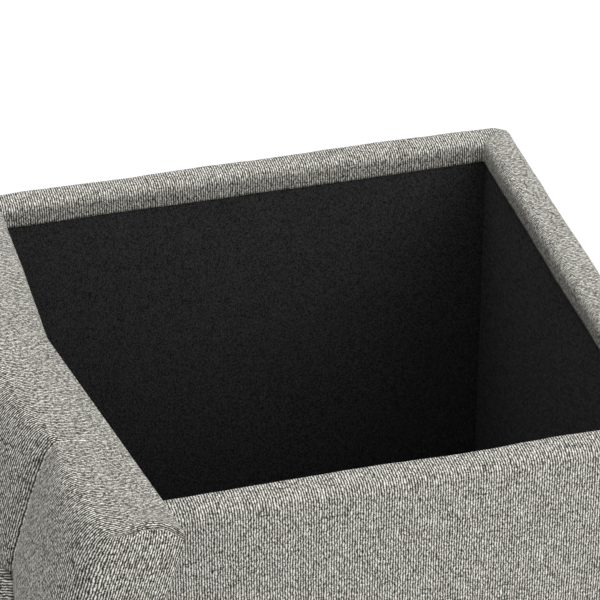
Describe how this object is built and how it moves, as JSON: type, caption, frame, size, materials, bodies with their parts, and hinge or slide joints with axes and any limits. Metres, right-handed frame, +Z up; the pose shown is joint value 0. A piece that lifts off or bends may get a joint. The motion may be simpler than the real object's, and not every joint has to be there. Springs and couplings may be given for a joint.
{
  "type": "storage ottoman",
  "caption": "Square upholstered storage ottoman: open lined box on glides with a separate tufted cushion lid leaning on its corner.",
  "frame": {"origin": "on the floor, under the middle of the box that holds the storage box and its leaning lid", "axes": "+Z up; -Y is the front of the storage box; the lid leans on the box's -X side"},
  "size_m": [0.6138, 0.5284, 0.3939],
  "materials": {
    "cloth": "ribbed two-tone grey weave",
    "felt": "matt black non-woven",
    "foam": "open-cell foam",
    "board": "raw fibreboard",
    "batten": "black stained",
    "steel": "zinc plated",
    "plastic": "fine texture",
    "twine": "twisted"
  },
  "bodies": {
    "box": {"cover_front": "cloth", "cover_right": "cloth", "cover_back": "cloth", "cover_left": "cloth", "foam_front": "foam", "foam_right": "foam", "foam_back": "foam", "foam_left": "foam", "board_front": "board", "board_right": "board", "board_back": "board", "board_left": "board", "base_board": "board", "corner_screw_1": "steel", "corner_screw_2": "steel", "corner_screw_3": "steel", "corner_screw_4": "steel", "corner_screw_5": "steel", "corner_screw_6": "steel", "corner_screw_7": "steel", "corner_screw_8": "steel", "base_screw_front": "steel", "base_screw_right": "steel", "base_screw_back": "steel", "base_screw_left": "steel", "lining_front": "felt", "lining_right": "felt", "lining_back": "felt", "lining_left": "felt", "lining_floor": "felt", "dust_cover": "felt", "glide_1": "plastic", "glide_screw_1": "steel", "glide_2": "plastic", "glide_screw_2": "steel", "glide_3": "plastic", "glide_screw_3": "steel", "glide_4": "plastic", "glide_screw_4": "steel"},
    "lid": {"lid_cover": "cloth", "lid_foam": "foam", "lid_board": "board", "lid_lining": "felt", "button_1": "cloth", "twine_1": "twine", "washer_1": "plastic", "button_2": "cloth", "twine_2": "twine", "washer_2": "plastic", "button_3": "cloth", "twine_3": "twine", "washer_3": "plastic", "button_4": "cloth", "twine_4": "twine", "washer_4": "plastic", "locating_batten_front": "batten", "locating_batten_right": "batten", "locating_batten_back": "batten", "locating_batten_left": "batten"}
  },
  "joints": [
    {"name": "lid_lift", "type": "slide", "parent": "box", "child": "lid", "axis": [0, 0, 1], "range_m": [0, 0.35]}
  ]
}
